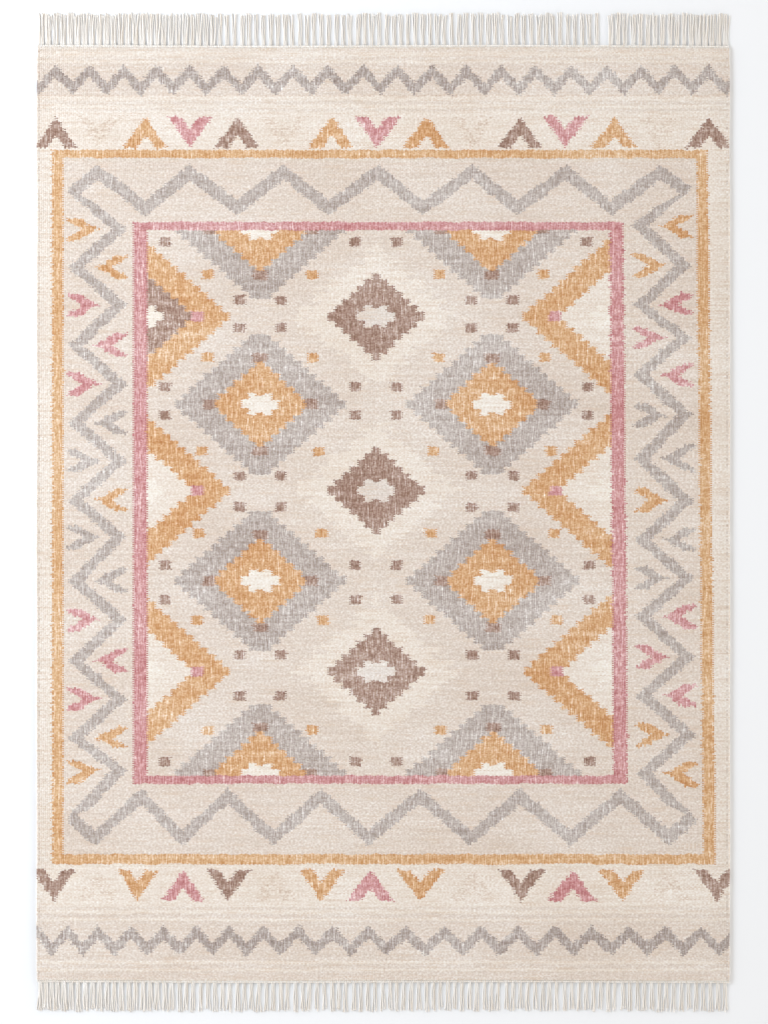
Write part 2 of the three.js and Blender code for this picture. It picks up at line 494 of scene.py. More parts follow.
# %% [markdown]
# ## Finishes
# Colours are given as a dyer would match them, as sRGB hex values, and turned to linear
# light by one function. One small function adds each node, with its settings and with a
# value or a link for each socket in turn, or for sockets that are named.

# %% Colours and nodes


def shade(code):
    levels = [int(code[i : i + 2], 16) / 255 for i in (1, 3, 5)]
    return tuple(c / 12.92 if c <= 0.04045 else ((c + 0.055) / 1.055) ** 2.4 for c in levels) + (1.0,)


WHITE = shade("#ECE4DA")
CREAM = shade("#E6DBD0")
LIGHT_BEIGE = shade("#E0D4C9")
BEIGE = shade("#DDD0C5")
TAN = shade("#D6C0AB")
PALE_MUSTARD = shade("#D5AC82")
MUSTARD = shade("#D1A377")
PINK = shade("#CB9494")
BROWN = shade("#A68A7C")
GREY = shade("#B9ADA6")
DEEP_GREY = shade("#B1A49D")
SMOKE = shade("#DFD5CD")
SPECKS = shade("#DAC9BA")
COTTON = shade("#E7E3DE")
OLD_COTTON = shade("#DFD7CD")


def add(tree, kind, *values, named=None, output=None, **settings):
    node = tree.nodes.new("ShaderNode" + kind)
    for name, setting in settings.items():
        setattr(node, name, setting)
    pairs = list(zip([socket for socket in node.inputs if socket.enabled], values))
    pairs += [(node.inputs[name], value) for name, value in (named or {}).items()]
    for socket, value in pairs:
        if isinstance(value, bpy.types.NodeSocket):
            tree.links.new(value, socket)
        else:
            socket.default_value = value
    outputs = {socket.name: socket for socket in node.outputs if socket.enabled}
    return outputs[output] if output else next(iter(outputs.values()), None)


def new_finish(name):
    material = bpy.data.materials.new(name)
    material.use_nodes = True
    material.node_tree.nodes.clear()
    return material, material.node_tree


wool_finish, wool = new_finish("wool_weft_flatweave")
print("colour check, cream:", [round(level, 3) for level in CREAM])

# %% [markdown]
# ### The weave as a grid of beads
# In a flat weave covered by its wefts, what shows is small beads: each is one weft
# crossing one warp, and beads on neighbouring warps are half a bead out of step. So the
# pattern is asked for its colour once for each bead, not for each point, and its edges
# come out stepped as woven ones do. Where two colours meet along a warp their wefts turn
# round it in pairs, which gives the small teeth: every other row is moved by one rib.

# %% Beads
BEAD_LENGTH = 2.55
TOOTH = 0.8 * RIB_PITCH
WANDER_ACROSS, ACROSS_SIZE = 6.4, (45, 7)
WANDER_ALONG, ALONG_SIZE = 5.2, (30, 60)


def place_in_mm(tree):
    """How far across and along the rug a point of the piece lies."""
    place = add(tree, "TexCoord", output="Object")
    in_mm = add(tree, "VectorMath", place, (1 / MM, 1 / MM, 1 / MM), operation="MULTIPLY")
    return [add(tree, "SeparateXYZ", in_mm, output=axis) for axis in "XY"]


def mottle(tree, x, y, size, detail=0.0):
    """Soft uneven marks from 0 to 1, with their size given as width and length."""
    where = add(tree, "CombineXYZ", x, y, 0.0)
    scaled = add(tree, "VectorMath", where, (1 / size[0], 1 / size[1], 1), operation="MULTIPLY")
    return add(tree, "TexNoise", scaled, 1.0, detail, noise_dimensions="2D")


def vary(value, marks, amount):
    """Add marks from 0 to 1 to a value, centred, so that its mean stays."""
    centred = add(wool, "Math", marks, 0.5, operation="SUBTRACT")
    return add(wool, "Math", centred, amount, value, operation="MULTIPLY_ADD")


def product(first, *others):
    for other in others:
        first = add(wool, "Math", first, other, operation="MULTIPLY")
    return first


def is_odd(number):
    return add(wool, "Math", number, 2.0, operation="FLOORED_MODULO")


true_x, true_y = place_in_mm(wool)
rib_share = product(true_x, 1 / RIB_PITCH)
rib_number = add(wool, "Math", rib_share, operation="FLOOR")
odd_rib = is_odd(rib_number)
bead_share = product(true_y, 1 / BEAD_LENGTH)
bead_share = add(wool, "Math", odd_rib, 0.5, bead_share, operation="MULTIPLY_ADD")
bead_number = add(wool, "Math", bead_share, operation="FLOOR")

rib_middle = add(wool, "Math", rib_number, RIB_PITCH, RIB_PITCH / 2, operation="MULTIPLY_ADD")
bead_middle = add(wool, "Math", bead_number, BEAD_LENGTH, BEAD_LENGTH / 2, operation="MULTIPLY_ADD")
bead_middle = add(wool, "Math", odd_rib, -BEAD_LENGTH / 2, bead_middle, operation="MULTIPLY_ADD")

bead_x = vary(rib_middle, mottle(wool, true_x, bead_middle, ACROSS_SIZE), WANDER_ACROSS)
bead_x = vary(bead_x, is_odd(bead_number), TOOTH)
bead_y = vary(bead_middle, mottle(wool, rib_middle, true_y, ALONG_SIZE), WANDER_ALONG)
print("beads across and along:", RIB_COUNT, "x", round(WOVEN_LENGTH / BEAD_LENGTH))

# %% [markdown]
# The right half of the pattern widens a little towards the foot, as the weaver drew the
# warps tighter at the start, so all of it is stretched by one small rule.

# %% The drift of the right half
DRIFT = 0.0000142
DRIFT_FROM = 489

beyond = add(wool, "Math", bead_x, 0.0, operation="MAXIMUM")
below = add(wool, "Math", bead_y, DRIFT_FROM, operation="SUBTRACT")
pattern_x = add(wool, "Math", beyond, product(below, DRIFT), bead_x, operation="MULTIPLY_ADD")
pattern_y = bead_y

# %% [markdown]
# The slanting bands are the least even: from one rib to the next their edges jump up or
# down by a bead or two. They are drawn with this rougher height.

# %% Ragged height
RAGGED, RAG_SIZE = 10, (3, 9)

ragged_y = vary(pattern_y, mottle(wool, rib_middle, bead_middle, RAG_SIZE), RAGGED)

# %% [markdown]
# ### Words of the pattern
# A few small tools draw everything. A test is 0 or 1, so product joins tests, and none_of
# turns one round. chart reads a named column of a table whose rows each lie at a place: at
# the nearest row, at the row whose stripe it lies in, or smoothly between rows.
# count_along counts the turns of an uneven row, so that one triangle wave can follow it,
# and lay_over puts yarns on a ground in order.

# %% Pattern tools


def none_of(test):
    return add(wool, "Math", 1.0, test, operation="SUBTRACT")


def apart(value, middle):
    gap = add(wool, "Math", value, middle, operation="SUBTRACT")
    return add(wool, "Math", gap, operation="ABSOLUTE")


def chart(value, rows, column, way="NEAREST"):
    """A column's entry in the NEAREST row, in the last row that it is FROM, or SMOOTH."""
    places = [row["at"] for row in rows]
    entries = [row[column] for row in rows]
    starts = places
    if way == "NEAREST":
        starts = [places[0]] + [(before + after) / 2 for before, after in zip(places, places[1:])]
    low, high = starts[0], starts[-1] + 1
    share = add(wool, "MapRange", value, low, high, 0.0, 1.0)
    column_ramp = add(wool, "ValToRGB", share)
    ramp = column_ramp.node.color_ramp
    ramp.interpolation = "LINEAR" if way == "SMOOTH" else "CONSTANT"
    colours = isinstance(entries[0], tuple)
    span = 1 if colours else max(abs(entry) for entry in entries)
    for number, (start, entry) in enumerate(zip(starts, entries)):
        position = (start - low) / (high - low)
        stop = ramp.elements[number] if number < 2 else ramp.elements.new(position)
        stop.position = position
        level = 0 if colours else (entry / span + 1) / 2
        stop.color = entry if colours else (level, level, level, 1)
    if colours:
        return column_ramp
    return add(wool, "MapRange", column_ramp, 0.0, 1.0, -span, span)


def nearest(value, places):
    return chart(value, [{"at": place} for place in places], "at")


def count_along(value, places):
    """How many of these places lie before the value, with shares between them."""
    low, high = places[0], places[-1]
    share = add(wool, "MapRange", value, low, high, 0.0, 1.0)
    counted = add(wool, "FloatCurve", 1.0, share)
    mapping = counted.node.mapping
    line = mapping.curves[0].points
    for number, place in enumerate(places):
        at = ((place - low) / (high - low), number / (len(places) - 1))
        point = line[0] if number == 0 else line[-1] if number == len(places) - 1 else line.new(*at)
        point.location = at
    for point in line:
        point.handle_type = "VECTOR"
    mapping.update()
    return product(counted, len(places) - 1.0)


def lay_over(ground, *layers):
    for yarn, where in layers:
        ground = add(wool, "Mix", where, ground, yarn, data_type="RGBA")
    return ground


# %% [markdown]
# ### Stepped diamonds
# The field is two sets of stepped diamonds that share one size: brown ones in the middle
# and yellow half ones at the sides, and between them yellow ones ringed in grey. A
# diamond's edge goes out one step for each step it goes up, so the number of steps across
# plus the number of steps up says which ring a bead is in. The field is folded along its
# middle, because its left and right halves match.

# %% Diamonds
FIELD_MIDDLE = -16.5
COLUMN_SPACE = 267
HALF_CELL_WIDTH = 9.2
HALF_CELL_HEIGHT = 10.4
STEP_WIDTH = 17.05
STEP_HEIGHT = 15.0
NOTCH_HEIGHT = 19.6
CROSS_RING = 2
BROWN_ROWS = (-367, 50, 451)
YELLOW_ROWS = (-603, -158, 249, 653)


def count_steps(gap, first, step):
    share = add(wool, "Math", gap, 1 / step, 1 - first / step, operation="MULTIPLY_ADD")
    whole = add(wool, "Math", share, operation="FLOOR")
    return add(wool, "Math", whole, 0.0, operation="MAXIMUM")


def ring_of(aside, above):
    across = count_steps(aside, HALF_CELL_WIDTH, STEP_WIDTH)
    up = count_steps(above, HALF_CELL_HEIGHT, STEP_HEIGHT)
    return add(wool, "Math", across, up, operation="ADD")


def inside(ring, number):
    return add(wool, "Math", ring, number + 0.5, operation="LESS_THAN")


def cross_shape(ring, aside, above):
    """The small cross in a diamond's middle, with a notch in its top and its foot."""
    low_enough = add(wool, "Math", above, HALF_CELL_HEIGHT + STEP_HEIGHT, operation="LESS_THAN")
    past_notch = add(wool, "Math", aside, HALF_CELL_WIDTH, operation="GREATER_THAN")
    under_notch = add(wool, "Math", above, NOTCH_HEIGHT, operation="LESS_THAN")
    clear = add(wool, "Math", past_notch, under_notch, operation="MAXIMUM")
    return product(inside(ring, CROSS_RING), low_enough, clear)


folded = apart(pattern_x, FIELD_MIDDLE)
brown_aside = add(wool, "Math", folded, COLUMN_SPACE, operation="PINGPONG")
brown_above = apart(pattern_y, nearest(pattern_y, BROWN_ROWS))
brown_ring = ring_of(brown_aside, brown_above)
yellow_aside = apart(folded, COLUMN_SPACE)
yellow_above = apart(pattern_y, nearest(pattern_y, YELLOW_ROWS))
yellow_ring = ring_of(yellow_aside, yellow_above)
print("diamond steps of", STEP_WIDTH, "by", STEP_HEIGHT, "mm")

# %% [markdown]
# ### The field
# The diamonds are laid over the beige ground in order, then the brown bars and squares and
# the yellow squares between them, and the pink dots at the tips of the half diamonds. The
# top left half diamond is the one that the weaver filled with brown. The cream round the
# brown diamonds runs out raggedly, because cream and beige wefts are hard to tell apart.

# %% Field
BAR, SIDE_BAR, DOT = table(
    "aside above half_width half_height",
    (0.0, 107, 17, 10.5),
    (117.5, 0.0, 14, 11.5),
    (122, 0.0, 13.8, 11.5),
)
SQUARE_HALVES = (12.7, 10.4)
YELLOW_TIP = 161
BROWN_SQUARES_ASIDE = 47.5
BROWN_SQUARES = (-575, -202, -122, 224, 289, 623)
INNER_SQUARES = (-423, -329, 12, 84, 425, 489)
YELLOW_SQUARES = table(
    "at aside", (-502, 120), (-248, 145), (-48, 141), (141, 135), (357, 122), (548, 120)
)
TOP_ROW_FROM = 250
CREAM_RING, OUTER_RING, INNER_RING = 13, 11, 6
CREAM_RAGGED, BLOTCH_SIZE = 6.0, (34, 15)

at_side = add(wool, "Math", folded, COLUMN_SPACE, operation="GREATER_THAN")
in_middle = add(wool, "Math", folded, COLUMN_SPACE, operation="LESS_THAN")
at_left = add(wool, "Math", pattern_x, FIELD_MIDDLE, operation="LESS_THAN")
in_top_row = add(wool, "Math", pattern_y, TOP_ROW_FROM, operation="GREATER_THAN")


def block(across, up, aside, above, half_width, half_height):
    """The beads of a block that lies this far aside and above."""
    return product(
        add(wool, "Math", across, aside, half_width, operation="COMPARE"),
        add(wool, "Math", up, above, half_height, operation="COMPARE"),
    )


def squares(across, rows, aside):
    return block(across, pattern_y, aside, nearest(pattern_y, rows), *SQUARE_HALVES)


brown_cross = cross_shape(brown_ring, brown_aside, brown_above)
yellow_cross = cross_shape(yellow_ring, yellow_aside, yellow_above)
under_tip = add(wool, "Math", yellow_above, YELLOW_TIP, operation="LESS_THAN")
yellow_rows = [square["at"] for square in YELLOW_SQUARES]
squares_aside = chart(pattern_y, YELLOW_SQUARES, "aside")
dots = block(brown_aside, brown_above, **DOT)
blotch = mottle(wool, bead_x, bead_y, BLOTCH_SIZE, detail=1.0)
ragged_ring = add(wool, "Math", blotch, CREAM_RAGGED, brown_ring, operation="MULTIPLY_ADD")

field = lay_over(
    BEIGE,
    (CREAM, product(in_middle, inside(ragged_ring, CREAM_RING))),
    (MUSTARD, product(at_side, inside(brown_ring, OUTER_RING))),
    (CREAM, product(at_side, inside(brown_ring, INNER_RING))),
    (BROWN, product(in_middle, inside(brown_ring, INNER_RING))),
    (BROWN, product(at_side, at_left, in_top_row, inside(brown_ring, INNER_RING))),
    (SMOKE, product(in_middle, brown_cross)),
    (WHITE, product(at_side, brown_cross)),
    (GREY, product(inside(yellow_ring, OUTER_RING), under_tip)),
    (MUSTARD, inside(yellow_ring, INNER_RING)),
    (WHITE, yellow_cross),
    (BROWN, block(yellow_aside, yellow_above, **BAR)),
    (BROWN, block(yellow_aside, yellow_above, **SIDE_BAR)),
    (BROWN, squares(brown_aside, BROWN_SQUARES, BROWN_SQUARES_ASIDE)),
    (BROWN, squares(yellow_aside, INNER_SQUARES, BROWN_SQUARES_ASIDE)),
    (MUSTARD, squares(yellow_aside, yellow_rows, squares_aside)),
    (PINK, product(at_side, dots)),
)
print("rows of diamonds:", len(BROWN_ROWS) + len(YELLOW_ROWS))

# %% [markdown]
# ### Frames
# Two plain frames, pink round the field and yellow round the border, are each the beads
# inside one box and outside a smaller one.

# %% Frames
PINK_OUTER, PINK_INNER, YELLOW_OUTER, YELLOW_INNER = table(
    "left right foot head",
    (-576, 555, -626, 669),
    (-544, 523, -607, 650),
    (-763, 752, -811, 835),
    (-737, 725, -788, 816),
)


def in_box(box):
    width, height = box["right"] - box["left"], box["head"] - box["foot"]
    middle_x, middle_y = box["left"] + width / 2, box["foot"] + height / 2
    return block(pattern_x, pattern_y, middle_x, middle_y, width / 2, height / 2)


in_field = in_box(PINK_INNER)
in_pink = in_box(PINK_OUTER)
in_border = in_box(YELLOW_INNER)
in_yellow = in_box(YELLOW_OUTER)
print("border between the frames:", YELLOW_INNER["head"] - PINK_OUTER["head"], "mm")

# %% [markdown]
# ### The zigzag of the border
# One grey band turns to and fro all the way round. Each side counts its own turns, as the
# weaver's spacing varied, and a triangle wave of the count gives the band's middle line.
# Two slanting lines part the sides from the ends in the corners. The right side's turns
# lie a little higher or lower than the left side's.

# %% Border zigzag
BORDER_MIDDLE = -7.3
SIDE_OUT, SIDE_IN, SIDE_HALF_BAND = 701, 600, 18
HEAD_OUT, HEAD_IN = 784, 701
FOOT_OUT, FOOT_IN, END_HALF_BAND = -751, -654, 17.8
SIDE_TURNS = (-700, -594, -521, -430, -343, -248, -158, -57, 28, 118, 206, 296, 385, 478, 565, 653, 736)
HEAD_TURNS = (-761, -657, -547, -445, -336, -229, -125, -12, 92, 207, 311, 424, 527, 643, 753)
FOOT_TURNS = (-775, -665, -556, -464, -358, -254, -143, -33, 83, 198, 311, 424, 537, 647, 756)
CORNER_MIDDLE, CORNER_AT, CORNER_SLOPE, CORNER_OUT = 18, 722, 0.47, 711
ZIGZAG_OUT = 717
RIGHT_ROWS = table(
    "at higher",
    *((-700, -9), (-594, -7), (-522, 7), (-343, 9), (-159, 7), (-57, -7)),
    *((118, 5), (206, 18), (385, 21), (478, 0), (736, 9)),
)


def band(value, turns, start, other, along, half_band):
    """A band that zigzags between two levels, turning at each of these places."""
    turn = add(wool, "Math", count_along(along, turns), 1.0, operation="PINGPONG")
    middle = add(wool, "Math", turn, other - start, start, operation="MULTIPLY_ADD")
    return add(wool, "Math", value, middle, half_band, operation="COMPARE")


side_apart = apart(pattern_x, BORDER_MIDDLE)
at_right = add(wool, "Math", pattern_x, 0.0, operation="GREATER_THAN")
higher = product(at_right, chart(pattern_y, RIGHT_ROWS, "higher", way="SMOOTH"))
row_y = add(wool, "Math", ragged_y, higher, operation="SUBTRACT")

side_band = band(side_apart, SIDE_TURNS, SIDE_OUT, SIDE_IN, row_y, SIDE_HALF_BAND)
head_band = band(ragged_y, HEAD_TURNS, HEAD_IN, HEAD_OUT, pattern_x, END_HALF_BAND)
foot_band = band(ragged_y, FOOT_TURNS, FOOT_IN, FOOT_OUT, pattern_x, END_HALF_BAND)
corner_in = add(wool, "Math", CORNER_OUT, side_apart, operation="SUBTRACT")
corner_line = add(wool, "Math", corner_in, -CORNER_SLOPE, CORNER_AT, operation="MULTIPLY_ADD")
at_end = add(wool, "Math", apart(pattern_y, CORNER_MIDDLE), corner_line, operation="GREATER_THAN")
at_head = add(wool, "Math", pattern_y, 0.0, operation="GREATER_THAN")
end_band = add(wool, "Mix", at_head, foot_band, head_band)
zigzag = product(
    add(wool, "Mix", at_end, side_band, end_band),
    add(wool, "Math", side_apart, ZIGZAG_OUT, operation="LESS_THAN"),
)
print("turns of a side and the two ends:", len(SIDE_TURNS), len(HEAD_TURNS), len(FOOT_TURNS))

# %% [markdown]
# ### Arrowheads in the border
# Every bay of the side zigzag holds an arrowhead that points into it. They share the
# zigzag's count, so the nearest whole number says which bay a bead is in, what colour its
# arrowhead is, and whether it points outwards or inwards.

# %% Side arrowheads
ROW_SPACE = 89.6
OUTER_TIP, INNER_TIP = 645, 659
ARROW_LENGTH, ARROW_HALF_HEIGHT = 77, 27
ARROW_SLOPE, ARROW_THIN, ARROW_NOTCH, THIN_TIP = 0.6, 5, 41, 2.5
BAY_YARNS = (
    *(MUSTARD, MUSTARD, PINK, PINK, PINK, GREY, GREY, MUSTARD),
    *(GREY, GREY, PINK, PINK, PINK, MUSTARD, MUSTARD),
)
SIDE_ARROWS = table("at yarn", *enumerate(BAY_YARNS, 1))

count = count_along(row_y, SIDE_TURNS)
bay = add(wool, "Math", count, operation="ROUND")
arrow_above = product(apart(count, bay), ROW_SPACE)
outward_way = add(wool, "Math", side_apart, OUTER_TIP, operation="SUBTRACT")
inward_way = add(wool, "Math", INNER_TIP, side_apart, operation="SUBTRACT")
from_tip = add(wool, "Mix", is_odd(bay), inward_way, outward_way)


def arrow_edge(starts):
    return add(wool, "Math", from_tip, ARROW_SLOPE, -ARROW_SLOPE * starts, operation="MULTIPLY_ADD")


outer_edge = add(wool, "Math", arrow_edge(ARROW_THIN), THIN_TIP, operation="MAXIMUM")
arrow = product(
    add(wool, "Math", from_tip, ARROW_LENGTH / 2, ARROW_LENGTH / 2, operation="COMPARE"),
    add(wool, "Math", arrow_above, outer_edge, operation="LESS_THAN"),
    add(wool, "Math", arrow_above, arrow_edge(ARROW_NOTCH), operation="GREATER_THAN"),
    add(wool, "Math", arrow_above, ARROW_HALF_HEIGHT, operation="LESS_THAN"),
    add(wool, "Math", bay, 0.5, operation="GREATER_THAN"),
    add(wool, "Math", bay, len(SIDE_ARROWS) + 0.5, operation="LESS_THAN"),
    none_of(at_end),
)
arrow_yarn = chart(bay, SIDE_ARROWS, "yarn")
print("side arrowheads:", 2 * len(SIDE_ARROWS))

# %% [markdown]
# ### Chevrons at the ends
# Across each end runs a row of fifteen chevrons, by turns pointing out and in. Both ends
# have the same colours in the same order, and lie at the same distance from one line, so
# one fold of the cloth serves both. The first and last place lie outside the rug, so that
# the count runs on past its sides. Every fourth chevron is worked in a tan so pale that
# only specks of it show.

# %% End chevrons
END_FOLD = 8
CHEVRON_FROM, CHEVRON_TO = 832, 903.4
CHEVRON_SPACE = 107.7
CHEVRON_SLOPE = 1.37
CHEVRON_THICK = 42
SPECK_SHARE, SPECK_SIZE = 0.54, (9, 5)
HEAD_CHEVRONS = (
    *(-858, -753, -657, -547, -446, -336, -229, -118),
    *(-15, 101, 207, 318, 421, 537, 638, 756, 862),
)
FOOT_CHEVRONS = (
    *(-864, -759, -657, -567, -461, -358, -249, -143),
    *(-30, 83, 203, 312, 428, 542, 647, 754, 860),
)
CHEVRON_YARNS = (
    *(BROWN, SPECKS, MUSTARD, PINK, BROWN, SPECKS, MUSTARD, PINK),
    *(MUSTARD, SPECKS, BROWN, PINK, MUSTARD, SPECKS, BROWN),
)
CHEVRONS = table(
    "at yarn faint",
    *((number, yarn, int(yarn == SPECKS)) for number, yarn in enumerate(CHEVRON_YARNS, 1)),
)

from_fold = apart(ragged_y, END_FOLD)
along_foot = count_along(pattern_x, FOOT_CHEVRONS)
along_head = count_along(pattern_x, HEAD_CHEVRONS)
chevron_count = add(wool, "Mix", at_head, along_foot, along_head)
chevron_number = add(wool, "Math", chevron_count, operation="ROUND")
chevron_aside = apart(chevron_count, chevron_number)
below_top = add(wool, "Math", CHEVRON_TO, from_fold, operation="SUBTRACT")
above_foot = add(wool, "Math", from_fold, CHEVRON_FROM, operation="SUBTRACT")
from_point = add(wool, "Mix", is_odd(chevron_number), above_foot, below_top)
leg_rise = CHEVRON_SLOPE * CHEVRON_SPACE
leg_middle = add(
    wool, "Math", chevron_aside, leg_rise, CHEVRON_THICK / 2, operation="MULTIPLY_ADD"
)
speck_marks = mottle(wool, bead_x, bead_y, SPECK_SIZE)
left_out = add(wool, "Math", speck_marks, SPECK_SHARE, operation="LESS_THAN")
faint = chart(chevron_number, CHEVRONS, "faint")
chevron = product(
    add(wool, "Math", from_fold, CHEVRON_FROM, operation="GREATER_THAN"),
    add(wool, "Math", from_fold, CHEVRON_TO, operation="LESS_THAN"),
    add(wool, "Math", from_point, leg_middle, CHEVRON_THICK / 2, operation="COMPARE"),
    none_of(product(left_out, faint)),
)
chevron_yarn = chart(chevron_number, CHEVRONS, "yarn")
print("chevrons:", 2 * len(CHEVRONS))

# %% [markdown]
# ### Small zigzags at the ends
# Outside the chevrons a small grey zigzag crosses each end. Its peaks are nearly even, so
# only every second one is charted, and four half turns fill the space between two places.

# %% Small zigzags
HEAD_PEAK, HEAD_TROUGH, HEAD_SMALL_HALF = 1017, 975, 14.5
FOOT_PEAK, FOOT_TROUGH, FOOT_SMALL_HALF = -967, -1008, 15
HEAD_PEAKS = (-914, -755, -598, -447, -288, -126, 34, 195, 354, 520, 677, 834)
FOOT_PEAKS = (-954, -797, -656, -507, -355, -196, -35, 138, 304, 472, 638, 797, 960)
HALF_TURNS = 4.0


def small_band(places, peak, trough, half_band):
    half_turns = product(count_along(pattern_x, places), HALF_TURNS)
    turn = add(wool, "Math", half_turns, 1.0, operation="PINGPONG")
    middle = add(wool, "Math", turn, trough - peak, peak, operation="MULTIPLY_ADD")
    return add(wool, "Math", ragged_y, middle, half_band, operation="COMPARE")


head_small = small_band(HEAD_PEAKS, HEAD_PEAK, HEAD_TROUGH, HEAD_SMALL_HALF)
foot_small = small_band(FOOT_PEAKS, FOOT_PEAK, FOOT_TROUGH, FOOT_SMALL_HALF)
small_zigzag = add(wool, "Mix", at_head, foot_small, head_small)
print("peaks of a small zigzag: about", 2 * len(HEAD_PEAKS))

# %% [markdown]
# ### Stripes at the ends
# Thin stripes of cream, beige and tan cross both ends, charted by the distance from the
# end at which each one starts.

# %% End stripes
HEAD_STRIPES = table(
    "at yarn",
    *((0, CREAM), (5, LIGHT_BEIGE), (15, CREAM), (26, LIGHT_BEIGE), (35, CREAM), (41, BEIGE)),
    *((115, SPECKS), (118, CREAM), (128, LIGHT_BEIGE), (137, CREAM), (146, LIGHT_BEIGE)),
    (152, CREAM),
)
FOOT_STRIPES = table(
    "at yarn",
    *((0, CREAM), (5, LIGHT_BEIGE), (10, BEIGE), (27, CREAM), (33, BEIGE), (44, CREAM)),
    *((51, BEIGE), (143, CREAM), (149, BEIGE), (159, CREAM), (168, LIGHT_BEIGE)),
    (175, CREAM),
)

from_head = add(wool, "Math", HEAD_EDGE, pattern_y, operation="SUBTRACT")
from_foot = add(wool, "Math", pattern_y, FOOT_EDGE, operation="SUBTRACT")
head_ground = chart(from_head, HEAD_STRIPES, "yarn", way="FROM")
foot_ground = chart(from_foot, FOOT_STRIPES, "yarn", way="FROM")
ground = add(wool, "Mix", at_head, foot_ground, head_ground, data_type="RGBA")
print("stripes:", len(HEAD_STRIPES) + len(FOOT_STRIPES))

# %% [markdown]
# ### All of the pattern
# The pattern is laid from the outside in.

# %% The whole pattern
pattern = lay_over(
    ground,
    (chevron_yarn, chevron),
    (DEEP_GREY, small_zigzag),
    (PALE_MUSTARD, in_yellow),
    (BEIGE, in_border),
    (GREY, product(in_border, zigzag)),
    (arrow_yarn, product(in_border, arrow)),
    (PINK, in_pink),
    (field, in_field),
)
print("nodes so far:", len(wool.nodes))

# %% [markdown]
# ### Uneven dye
# Hand-spun wool takes up its dye unevenly, and a colour raised to a power is the same dye
# in a thicker or thinner bath: above one it is deeper, below one paler, and a dark yarn
# varies most. So one number, the uptake, carries all the unevenness. All the yarn has
# soft clouds, faint long streaks along its wefts, and changes from bead to bead. The dyed
# yarn varies along the ribs as well, and has pale lines along the warps, a dozen
# millimetres apart, where the dye didn't reach between two ribs. Each kind of mark is
# given how wide and long it is.

# %% Uneven dye
UNDYED_FROM, DYED_FROM = 0.65, 0.5
CLOUDS, CLOUD_AMOUNT = (300, 150), 0.5
LONG_STREAKS, LONG_AMOUNT = (190, 6.0), 0.5
SPECKLES, SPECKLE_AMOUNT, SPECKLE_IN_DYED = (5.2, 4.2), 0.8, -0.4
BEAD_AMOUNT = 0.4
RIB_STREAKS, RIB_AMOUNT = (2.5, 17), 0.72
PATCHES, PATCH_AMOUNT = (19, 13), 0.35
LINE_PITCH, LINE_WIDTH = 12.2, 0.2
LINE_BENDS, LINE_BREAKS = (70, 160), (1.4, 55)
LINE_HIDDEN, LINE_CLEAR, LINE_PALER = 0.3, 0.6, -0.35

bead_place = add(wool, "CombineXYZ", rib_number, bead_number, 0.0)
bead_chance = add(wool, "TexWhiteNoise", bead_place, noise_dimensions="2D")
brightness = add(wool, "RGBToBW", pattern)
dyed = add(wool, "MapRange", brightness, UNDYED_FROM, DYED_FROM, 0.0, 1.0)
undyed = none_of(dyed)

in_all = vary(1.0, mottle(wool, true_x, true_y, CLOUDS, detail=1.0), CLOUD_AMOUNT)
long_streaks = mottle(wool, true_x, bead_middle, LONG_STREAKS, detail=1.0)
in_all = vary(in_all, long_streaks, LONG_AMOUNT)
speckles = mottle(wool, true_x, true_y, SPECKLES)
in_all = vary(in_all, speckles, SPECKLE_AMOUNT)
in_all = vary(in_all, bead_chance, BEAD_AMOUNT)

in_dyed = vary(0.0, mottle(wool, true_x, true_y, RIB_STREAKS), RIB_AMOUNT)
in_dyed = vary(in_dyed, mottle(wool, true_x, true_y, PATCHES), PATCH_AMOUNT)
in_dyed = vary(in_dyed, speckles, SPECKLE_IN_DYED)
line_bend = mottle(wool, true_x, true_y, LINE_BENDS)
line_place = product(true_x, 1 / LINE_PITCH)
line_place = add(wool, "Math", line_bend, 2.0, line_place, operation="MULTIPLY_ADD")
from_line = add(wool, "Math", line_place, 0.5, operation="PINGPONG")
pale_line = add(wool, "MapRange", from_line, 0.0, LINE_WIDTH, 1.0, 0.0)
line_breaks = mottle(wool, line_place, true_y, LINE_BREAKS)
line_seen = add(wool, "MapRange", line_breaks, LINE_HIDDEN, LINE_CLEAR, 0.0, LINE_PALER)
in_dyed = add(wool, "Math", pale_line, line_seen, in_dyed, operation="MULTIPLY_ADD")

# %% [markdown]
# Along the upright sides of both frames, where a colour ends along a warp and its wefts
# turn back, a strip is made deeper than the frame's middle: painted shade of the slit there.
# The undyed yarn has thin tan streaks, and just inside each bound side a little brown wool
# of the turning wefts shows, as a broken line.

# %% Painted slit shade at the frame edges, and turning wefts
SLIT_SHADE_WIDTH = 3.5
YELLOW_SLIT_SHADE_SHARE = 0.5
SLIT_SHADE_DEPTH = 0.25
TAN_STREAKS, TAN_NONE, TAN_FULL, TAN_MOST = (75, 2.7), 0.57, 0.77, 0.75
TURN_LINE_IN, TURN_LINE_HALF = 7.5, 1.6
TURN_MARKS, TURN_NONE, TURN_FULL, TURN_MOST = (40, 7.0), 0.48, 0.68, 0.4


def slit_shade_strip(outer, inner):
    """Whether a bead lies in the strip along a frame's upright sides where slit shade is painted, as 0
    or 1.
    """
    left, right = (outer["left"] + inner["left"]) / 2, (outer["right"] + inner["right"]) / 2
    from_side = apart(apart(pattern_x, (left + right) / 2), (right - left) / 2)
    half_width = (inner["left"] - outer["left"]) / 2
    return add(wool, "Math", from_side, half_width, SLIT_SHADE_WIDTH, operation="COMPARE")


pink_slit_shade = slit_shade_strip(PINK_OUTER, PINK_INNER)
yellow_slit_shade = product(slit_shade_strip(YELLOW_OUTER, YELLOW_INNER), YELLOW_SLIT_SHADE_SHARE)
slit_shade = add(wool, "Mix", in_pink, yellow_slit_shade, pink_slit_shade)
slit_shade = product(slit_shade, none_of(in_field))
